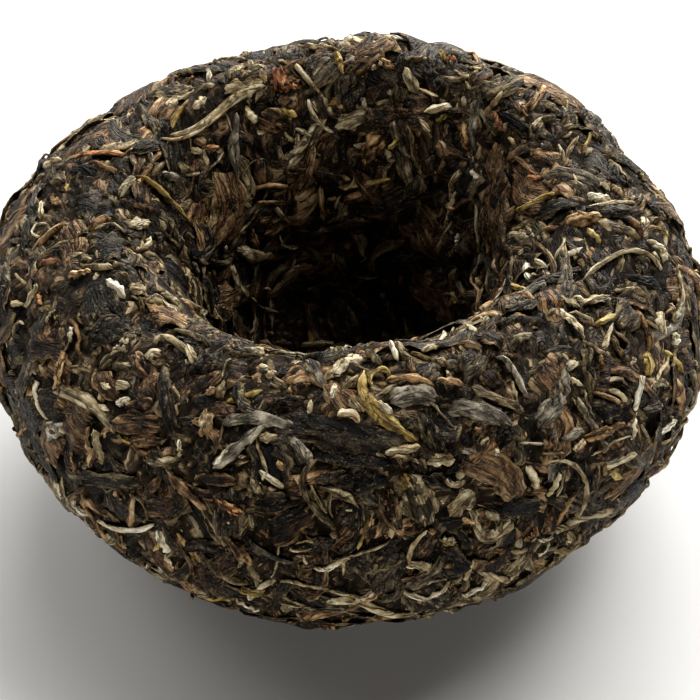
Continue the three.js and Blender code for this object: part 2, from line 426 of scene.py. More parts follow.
def pressed_section(
    top=11, crown=4, pitch=0.85, fold=0.42, crumple=0.38, tip=0.4, blunt=0.35, tilt=0.38, dip=1.2,
    dish=0.4, creases=(0.3, 1.0)
):
    """A rolled leaf pressed flat: folds run along it, its face is crumpled, and its edges turn down."""
    face = np.sin(np.linspace(-math.pi / 2, math.pi / 2, top))
    place = np.concatenate([face, UNDERSIDE_CORNERS])[::-1]
    upper = np.concatenate([np.ones(top), np.zeros(2)])[::-1]

    def section(leaves, share):
        random = leaves.random
        count = leaves.count
        body = tip + (1 - tip) * np.sin(math.pi * share) ** blunt
        body = body * (1 + WIDTH_WANDER * waves(random, count)(share))
        across = column(leaves.width / 2) * body * place
        cell = column(leaves.length) * share
        ragged = relief(leaves, cell / RAGGED_CELL, place + 1)
        across = across * (1 + RAGGED_EDGE * ragged * place ** 2)

        wander = column(random.uniform(0, 9, count)) + column(random.normal(0, 1.0, count)) * share
        wander = wander + FOLD_WANDER * waves(random, count)(share)
        spacing = column(np.maximum(pitch, leaves.width / LEAST_FOLDS))
        folds = np.abs(np.sin(math.pi * (across / spacing + wander))) ** FOLD_POWER
        strength = FOLD_STRENGTH + FOLD_CHANGE * relief(leaves, cell / FOLD_CELL, place + 1)
        rows, columns = CRUMPLE_CELLS
        crumples = 1 - np.abs(relief(leaves, cell / rows, (across + GRID_OFFSET) / columns))
        creased = column(random.uniform(*creases, count))
        crushed = column(random.uniform(*CRUMPLE_SHARES, count))
        carve = fold * creased * strength * (1 - folds) + crumple * crushed * crumples ** 3

        end = np.abs(2 * share - 1)
        lean = column(random.uniform(-1, 1, count)) * (share - 0.5)
        sink = dip * column(random.uniform(*DIP_SHARES, count)) * end ** 4
        height = column(leaves.thick) * (1 - np.abs(place) ** crown)
        dished = column(random.uniform(*DISH_SHARES, count))
        height = height - dished * dish * (1 - place ** 2) * upper
        height = height + column(random.normal(0, tilt, count)) * place
        height = height + FACE_SWELL * waves(random, count, 4)(share)
        height = height - column(leaves.depth + leaves.thick) - sink
        height = height + END_LEAN * lean - UNDERSIDE_DEPTH * (1 - upper)

        slant = column(random.normal(0, SLANT, count)) * across
        torn = column(np.minimum(TORN_LIMIT, TORN_SHARE * leaves.width))
        torn = torn * relief(leaves, end * TORN_CELL, place * 3 + 3)
        return SimpleNamespace(
            across=across,
            height=height,
            carve=upper * carve,
            slide=(slant + torn) * end ** 3,
            edge=(np.abs(place) > EDGE_START) * upper,
            # Painted light on the fold ridges, and painted shade in the creases between folds, in the crumple
            # hollows and on the underside corners
            painted_light=upper * (LEAST_PAINTED_LIGHT + (1 - LEAST_PAINTED_LIGHT) * folds * (1 - 0.5 * crumples ** 3)),
        )

    return section


def round_section(corners=6, taper=0.25, knots=0.12, bowing=0.25, dip=0.8):
    """A stem: a thin stalk that stays round under the press."""
    turn = np.linspace(0, 2 * math.pi, corners, endpoint=False)[::-1]

    def section(leaves, share):
        body = 1 - taper + taper * np.sin(math.pi * share) ** 0.3
        body = body + knots * waves(leaves.random, leaves.count)(share)
        half = column(leaves.width / 2) * body
        bow = bowing * waves(leaves.random, leaves.count)(share)
        sink = dip * np.abs(2 * share - 1) ** 6
        height = half * (np.sin(turn) - 1) - column(leaves.depth) + bow - sink
        return SimpleNamespace(
            across=half * np.cos(turn),
            height=height,
            carve=np.zeros_like(height),
            slide=np.zeros_like(height),
            edge=np.zeros(corners),
            # Painted light on the stem's upper side and painted shade on its underside
            painted_light=0.5 + 0.4 * np.sin(turn),
        )

    return section


# ---- where leaves lie

GOLDEN_HALF_TURNS = 3 - math.sqrt(5)
SWIRLS = ((1.0, 2, 0.045, 0.6), (0.9, 3, -0.08, 2.1), (0.7, 5, 0.11, 4.0))
TURN_STRAY = 0.05
LIFT_STRAY = 0.05
SWAY = 1.2
GRAIN_REACH = 500


def spread_out(random, count, stray):
    """Places and headings spread evenly over the whole skin. Most leaves follow a slow swirl."""
    order = random.permutation(count)
    share = (order + random.uniform(0, 1, count)) / count
    along = np.interp(share * AREAS[-1], AREAS, LENGTHS)
    turn = order * math.pi * GOLDEN_HALF_TURNS + random.normal(0, TURN_STRAY, count)
    angle = turn % (2 * math.pi)
    swirl = sum(size * np.sin(turns * angle + pace * along + phase) for size, turns, pace, phase in SWIRLS)
    heading = swirl + random.normal(0, stray, count) + math.pi * random.integers(0, 2, count)
    return angle, along, heading


def sized(random, count, length, width, thick, depth):
    """The sizes and the colour draws of some leaves of one kind."""
    return SimpleNamespace(
        random=random,
        count=count,
        length=random.uniform(*length, count),
        width=random.uniform(*width, count),
        thick=random.uniform(*thick, count),
        depth=random.uniform(*depth, count),
        lift=random.normal(0, LIFT_STRAY, count),
        seed=random.uniform(0, GRAIN_REACH, count),
        tint=random.uniform(0, 1, count),
        tone=random.uniform(0, 1, count),
        paths=None,
    )


def scatter(
    seed, count, length, width, thick=(0.4, 0.8), depth=(-0.15, 0.8), bend=0.6, stray=0.8, tone=1.0
):
    """Some leaves of one kind, spread over the whole cake."""
    random = np.random.default_rng(seed)
    leaves = sized(random, count, length, width, thick, depth)
    leaves.angle, leaves.along, leaves.heading = spread_out(random, count, stray)
    leaves.bend = random.normal(0, bend, count)
    leaves.sway = random.normal(0, SWAY, count)
    leaves.tone = leaves.tone * tone
    return leaves


LANDMARK_THICKNESS = 0.65
LANDMARK_TINTS = (0.3, 0.8)
LANDMARK_LIFT = 0.2
WIDE_LEAF = 3
WIDE_LEAF_SINK = 0.05


def landmarks(seed, rows, lift, tones):
    """Leaves that stand out in the photograph. Narrow ones lie a little higher than wide ones."""
    random = np.random.default_rng(seed)
    thick = LANDMARK_THICKNESS, LANDMARK_THICKNESS
    leaves = sized(random, len(rows), (1, 1), (1, 1), thick, (0, 0))
    leaves.width = np.array([row[0] for row in rows]) / PIXELS_PER_MM
    leaves.paths = [path_of(row) for row in rows]
    steps = [np.linalg.norm(np.diff(path, axis=0), axis=1).sum() for path in leaves.paths]
    leaves.length = np.array(steps) / PIXELS_PER_MM
    leaves.lift = lift + LANDMARK_LIFT - WIDE_LEAF_SINK * np.minimum(leaves.width, WIDE_LEAF)
    leaves.tint = random.uniform(*LANDMARK_TINTS, len(rows))
    leaves.tone = random.uniform(*tones, len(rows))
    return leaves


# ---- meshes

def make_piece(name, shell, material):
    """One piece of the render, in metres, from a shell of points, quads, fans and attributes."""
    mesh = bpy.data.meshes.new(name)
    mesh.vertices.add(len(shell.points))
    mesh.vertices.foreach_set("co", (shell.points * MM).astype(np.float32).ravel())
    corners = np.concatenate([shell.quads.ravel(), shell.fans.ravel()])
    sizes = np.concatenate([np.full(len(shell.quads), 4), np.full(len(shell.fans), 3)])
    mesh.loops.add(len(corners))
    mesh.loops.foreach_set("vertex_index", corners.astype(np.int32))
    mesh.polygons.add(len(sizes))
    mesh.polygons.foreach_set("loop_start", (np.cumsum(sizes) - sizes).astype(np.int32))
    mesh.polygons.foreach_set("use_smooth", np.ones(len(sizes), bool))
    mesh.update(calc_edges=True)
    mesh.validate()
    for label, kind, field in (
        ("grain", "FLOAT_VECTOR", "vector"),
        ("look", "FLOAT_VECTOR", "vector"),
        ("painted_light", "FLOAT", "value"),
    ):
        attribute = mesh.attributes.new(label, kind, "POINT")
        attribute.data.foreach_set(field, getattr(shell, label).astype(np.float32).ravel())
    mesh.materials.append(material)
    piece = bpy.data.objects.new(name, mesh)
    bpy.context.scene.collection.objects.link(piece)
    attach(piece, "root")
    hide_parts(NODE)


def grid_faces(around, along):
    """Faces of a closed skin of rings, with a fan on one middle point at each end."""
    ring = np.arange(around)[:, None]
    after = (ring + 1) % around
    stop = np.arange(along - 1)[None]
    corners = ring * along + stop, after * along + stop, after * along + stop + 1, ring * along + stop + 1
    quads = np.stack(corners, -1).reshape(-1, 4)
    pole = np.full(around, along * around)
    ring, after = ring[:, 0] * along, after[:, 0] * along
    first = np.stack([pole, after, ring], -1)
    last = np.stack([pole + 1, ring + along - 1, after + along - 1], -1)
    return quads, np.concatenate([first, last])


def warp(points, size, pace, random):
    """Moves points by a smooth random field, so that what is laid out by them gets uneven edges."""
    moved = points
    for _ in range(4):
        wave = np.sin(points @ random.normal(0, pace, (3, 3)) + random.uniform(0, 6, 3))
        moved = moved + size / 2 * wave
    return moved


MASS_SEED = 77
MASS_AROUND = 460
MASS_ALONG = 204
MASS_DEPTH = 0.55
MASS_GAP = 0.3
# The painted shade in the mass's fold grooves, as a share of the painted light on their ridges
MASS_LEAST_PAINTED_LIGHT = 0.3
WARP_SIZE = 0.5
WARP_PACE = 1.3
CELL_STRAY = 0.5
CELL_COUNT = 3000
CELL_LENGTHS = (1.8, 4.5)
CELL_WIDTHS = (0.7, 1.5)
CELL_HEIGHT = 5
CELL_DROP = 0.45
CELL_PITCH = 0.8
CELL_SHARE = 0.5
GRAIN_STEP = 1.7
FOLD_BEND = 0.25
FOLD_DEPTH = 0.2
CREVICE_WIDTH = 0.14
CREVICE_DEPTH = 0.45
POINT_BLOCKS = 40


def nearest_cells(points, cells):
    """For each point its place in the nearest cell, how far it is from the cell's edge, and the cell."""
    found = []
    offsets = [(cells.centre * axis).sum(1) for axis in cells.axes]
    for block in np.array_split(points, POINT_BLOCKS):
        u, v, w = (block @ axis.T - offset for axis, offset in zip(cells.axes, offsets))
        squares = (u / cells.half_length) ** 2 + (v / cells.half_width) ** 2 + (w / CELL_HEIGHT) ** 2
        reach = np.sqrt(squares) + cells.share
        cell = reach.argmin(1)[:, None]
        first, second = np.partition(reach, 1, 1)[:, :2].T
        found.append([np.take_along_axis(x, cell, 1)[:, 0] for x in (u, v)] + [second - first, cell[:, 0]])
    u, v, gap, cell = (np.concatenate(column) for column in zip(*found))
    return u, v, gap, cell.astype(int)


def pressed_mass():
    """The skin between the larger leaves: a mosaic of small pressed pieces with crevices between them."""
    random = np.random.default_rng(MASS_SEED)
    angle, along, heading = spread_out(random, CELL_COUNT, CELL_STRAY)
    around, onward, normal = form_frame(angle, along)
    ahead = around * np.cos(heading)[:, None] + onward * np.sin(heading)[:, None]
    cells = SimpleNamespace(
        centre=form_point(angle, along),
        axes=(ahead, np.cross(normal, ahead), normal),
        half_length=random.uniform(*CELL_LENGTHS, CELL_COUNT),
        half_width=random.uniform(*CELL_WIDTHS, CELL_COUNT),
        share=random.uniform(0, CELL_SHARE, CELL_COUNT),
    )
    drop = random.uniform(0, CELL_DROP, CELL_COUNT)
    phase = random.uniform(0, 3, CELL_COUNT)
    tint = random.uniform(0, 1, CELL_COUNT)
    tone = random.uniform(0, 1, CELL_COUNT)

    angle = np.linspace(0, 2 * math.pi, MASS_AROUND, endpoint=False)[:, None]
    along = np.linspace(0, OUTLINE_LENGTH, MASS_ALONG + 2)[None, 1:-1]
    angle, along = (x.ravel() for x in np.broadcast_arrays(angle, along))
    point = form_point(angle, along)
    normal = form_frame(angle, along)[2]
    u, v, gap, cell = nearest_cells(warp(point, WARP_SIZE, WARP_PACE, random), cells)
    crevice = np.exp(-gap / CREVICE_WIDTH)
    bends = FOLD_BEND * np.sin(u * GRAIN_STEP + phase[cell])
    folds = np.abs(np.sin(math.pi * (v / CELL_PITCH + phase[cell] + bends)))
    depth = MASS_DEPTH + drop[cell] + CREVICE_DEPTH * crevice + FOLD_DEPTH * (1 - folds)
    depth = depth - unevenness(angle, along)
    skin = point - normal * depth[:, None]
    skin[:, 2] = np.maximum(skin[:, 2], MASS_GAP)
    poles = [[0, 0, 1], [0, 0, HOLLOW_FLOOR - 1]]
    quads, fans = grid_faces(MASS_AROUND, MASS_ALONG)
    return SimpleNamespace(
        points=np.concatenate([skin, poles]),
        quads=quads,
        fans=fans,
        grain=np.concatenate([np.stack([u, v, cell * GRAIN_STEP], -1), np.zeros((2, 3))]),
        look=np.concatenate([np.stack([tint[cell], tone[cell], 0 * u], -1), np.zeros((2, 3))]),
        # Painted shade: the colour darkens in the crevices between the pieces and in the grooves of their
        # folds, and is lighter on the fold ridges
        painted_light=np.concatenate([(1 - crevice) * (MASS_LEAST_PAINTED_LIGHT + (1 - MASS_LEAST_PAINTED_LIGHT) * folds), [0, 0]])[:, None],
    )


# ---- materials

def srgb(red, green, blue):
    """A colour as seen on a screen, 0 to 255, as linear values."""
    values = np.array([red, green, blue]) / 255
    linear = np.where(values > 0.04045, ((values + 0.055) / 1.055) ** 2.4, values / 12.92)
    return (*linear, 1.0)


class Finish:
    """A material's nodes, each made and linked in one call."""

    def __init__(self, name):
        self.material = bpy.data.materials.new(name)
        self.material.use_nodes = True
        self.tree = self.material.node_tree
        self.shader = self.tree.nodes["Principled BSDF"]

    def node(self, kind, inputs, output=0, **settings):
        """One output of a new node, whose inputs are linked or set."""
        node = self.tree.nodes.new("ShaderNode" + kind)
        for name, value in settings.items():
            setattr(node, name, value)
        for name, value in inputs.items():
            if isinstance(value, bpy.types.NodeSocket):
                self.tree.links.new(value, node.inputs[name])
            else:
                node.inputs[name].default_value = value
        return node.outputs[output]

    def attribute(self, name, output):
        """A value that each point of the mesh carries."""
        return self.node("Attribute", {}, output, attribute_name=name)

    def maths(self, operation, first, second=0.5):
        return self.node("Math", {0: first, 1: second}, operation=operation)

    def spread(self, value, low, high, to_low, to_high):
        """The value's place between low and high, set between to_low and to_high."""
        ends = {"From Min": low, "From Max": high, "To Min": to_low, "To Max": to_high}
        return self.node("MapRange", {"Value": value, **ends})

    def mix(self, share, first, second):
        return self.node("Mix", {"Factor": share, "A": first, "B": second}, 2, data_type="RGBA")

    def noise(self, place, scale, detail, rough=0.6, warped=0.0):
        """Noise whose cells are 1/scale millimetres along and across a leaf."""
        stretched = self.node("Mapping", {"Vector": place, "Scale": scale})
        return self.node(
            "TexNoise",
            {"Vector": stretched, "Scale": 1.0, "Detail": detail, "Roughness": rough, "Distortion": warped},
            "Fac",
        )

    def ramp(self, share, palette):
        """The palette's colours, evenly spaced from share 0 to share 1."""
        node = self.tree.nodes.new("ShaderNodeValToRGB")
        stops = node.color_ramp.elements
        while len(stops) < len(palette):
            stops.new(0.5)
        for i, colour in enumerate(palette):
            stops[i].position = i / (len(palette) - 1)
            stops[i].color = srgb(*colour)
        self.tree.links.new(share, node.inputs["Fac"])
        return node.outputs["Color"]

    def softened(self, colour, amount=0.7):
        """The colour c drawn down to c / (1 + amount c): darks stay, and the palest tips keep off white."""
        inputs = {0: colour, 1: (amount,) * 3, 2: (1, 1, 1)}
        above = self.node("VectorMath", inputs, operation="MULTIPLY_ADD")
        return self.node("VectorMath", {0: colour, 1: above}, operation="DIVIDE")

    def wire(self, value, name):
        """Links a value to one of the shader's inputs."""
        self.tree.links.new(value, self.shader.inputs[name])


# Each noise has its scale along a leaf, across it and from leaf to leaf, and then its detail, its roughness
# and its distortion.
NOISES = {
    "wrinkles": ((0.24, 1.05, 1.0), 2.0, 0.55, 0.6),
    "streaks": ((0.3, 2.0, 1.0), 2.0, 0.6, 0.5),
    "ripples": ((1.1, 2.0, 1.0), 2.0, 0.5, 0.4),
    "blotches": ((0.5, 0.8, 1.0), 3.0),
    "crumple": ((1.5, 2.0, 1.0), 4.0, 0.65, 0.5),
    "speckle": ((3.2, 4.0, 1.0), 2.0, 0.6),
}
NOISE_RANGE = (0.3, 0.7)
BLOTCH_RANGE = (0.34, 0.66)
RIM_RANGE = (0.4, 0.6)
FLECK_RANGE = (0.56, 0.68)
CREASE_WIDTH = 0.06
TINT_SHARE = 0.5
BLOTCH_SHARES = (-0.22, 0.5)
CREASE_LIGHT = (0.3, 1.0)
TONE_LIGHT = (0.8, 2.9)
CRUMPLE_LIGHT = (0.68, 1.34)
SPECKLE_LIGHT = (0.8, 1.2)
RIPPLE_HEIGHT = 0.5
CRUMPLE_HEIGHT = 1.2
SPECKLE_HEIGHT = 0.3
BUMP_STRENGTH = 0.9
BUMP_DISTANCE = 0.3


def leaf_material(
    name, palette, pale=(150, 134, 100), edge=0.6, fleck=0.6, streaky=0.22, shade=(0.15, 1.4),
    roughness=(0.25, 0.7), gloss=0.18
):
    """Tea leaf: a colour for each leaf, with painted shade in the wrinkles along it, in the crumple hollows
    and where the mesh's painted light is low, a paler rim that is partly a dried edge and partly a painted
    highlight, and pale flecks on the ridges that are partly down and partly painted highlights.
    """
    finish = Finish(name)
    grain = finish.attribute("grain", "Vector")
    look = finish.node("SeparateXYZ", {0: finish.attribute("look", "Vector")}, "X").node
    painted_light = finish.attribute("painted_light", "Fac")
    noises = SimpleNamespace(**{label: finish.noise(grain, *setting) for label, setting in NOISES.items()})
    wrinkle = finish.maths("ABSOLUTE", finish.maths("SUBTRACT", noises.wrinkles))
    crease = finish.spread(wrinkle, 0.0, CREASE_WIDTH, 0.0, 1.0)

    share = finish.maths("MULTIPLY", look.outputs["X"], TINT_SHARE)
    share = finish.maths("ADD", share, finish.spread(noises.blotches, *BLOTCH_RANGE, *BLOTCH_SHARES))
    share = finish.maths("ADD", share, finish.spread(noises.streaks, *NOISE_RANGE, -streaky, streaky))
    # Painted shade: darker in the wrinkle creases, where the painted light is low, and in the hollows of the
    # crumple bump, which is also partly mottling; tone and speckle are the leaves' own colour
    light = finish.spread(crease, 0, 1, *CREASE_LIGHT)
    for part in (
        finish.spread(painted_light, 0, 1, *shade),
        finish.spread(look.outputs["Y"], 0, 1, *TONE_LIGHT),
        finish.spread(noises.crumple, *NOISE_RANGE, *CRUMPLE_LIGHT),
        finish.spread(noises.speckle, *NOISE_RANGE, *SPECKLE_LIGHT),
    ):
        light = finish.maths("MULTIPLY", light, part)
    lit = {0: finish.ramp(share, palette), "Scale": light}
    colour = finish.softened(finish.node("VectorMath", lit, operation="SCALE"))
    # The pale rim: partly a paler dried edge, partly a painted highlight where a rolled edge catches light
    rim_patches = finish.spread(noises.blotches, *RIM_RANGE, 0.0, edge)
    rim = finish.maths("MULTIPLY", look.outputs["Z"], rim_patches)
    colour = finish.mix(rim, colour, srgb(*pale))
    # Pale flecks on the lit ridges: partly down, partly painted highlights
    ridge_flecks = finish.maths("MULTIPLY", finish.spread(noises.speckle, *FLECK_RANGE, 0.0, fleck), painted_light)
    colour = finish.mix(ridge_flecks, colour, srgb(*pale))
    finish.wire(colour, "Base Color")
    finish.wire(finish.spread(noises.crumple, *NOISE_RANGE, *roughness), "Roughness")
    finish.shader.inputs["Specular IOR Level"].default_value = gloss

    height = crease
    for noise, amount in (
        (noises.ripples, RIPPLE_HEIGHT),
        (noises.crumple, CRUMPLE_HEIGHT),
        (noises.speckle, SPECKLE_HEIGHT),
    ):
        height = finish.maths("ADD", height, finish.maths("MULTIPLY", noise, amount))
    inputs = {"Strength": BUMP_STRENGTH, "Distance": BUMP_DISTANCE * MM, "Height": height}
    finish.wire(finish.node("Bump", inputs), "Normal")
    return finish.material


PALETTES = {
    "mass": ((12, 9, 5), (28, 21, 13), (51, 39, 26), (84, 68, 48), (132, 115, 87)),
    "black": ((12, 9, 5), (27, 22, 15), (45, 38, 29), (71, 62, 48), (116, 103, 80)),
    "brown": ((24, 16, 10), (57, 40, 26), (92, 68, 45), (128, 100, 70), (168, 141, 106)),
    "olive": ((34, 28, 18), (70, 60, 41), (106, 92, 66), (144, 128, 97), (188, 171, 137)),
    "grey": ((37, 35, 30), (67, 62, 53), (101, 94, 81), (141, 132, 114), (189, 178, 156)),
    "khaki": ((60, 48, 31), (104, 89, 63), (145, 129, 96), (180, 165, 131), (212, 199, 167)),
    "bud": ((92, 76, 50), (146, 128, 94), (186, 169, 131), (212, 197, 160), (230, 219, 187)),
    "cream": ((124, 108, 80), (178, 162, 128), (210, 196, 162), (228, 218, 188), (242, 236, 212)),
    "gold": ((66, 50, 24), (112, 90, 46), (152, 127, 70), (186, 160, 94), (210, 190, 130)),
    "tan": ((112, 86, 58), (156, 128, 92), (190, 161, 121), (212, 187, 148), (228, 208, 174)),
    "stem": ((54, 38, 23), (92, 68, 43), (129, 98, 64), (160, 126, 86), (188, 156, 114)),
    "rust": ((76, 44, 26), (122, 76, 46), (162, 108, 68), (192, 138, 92), (212, 166, 122)),
    "red": ((58, 31, 19), (100, 58, 36), (140, 88, 55), (172, 116, 76), (196, 146, 106)),
}


# ---- the leaves of the cake

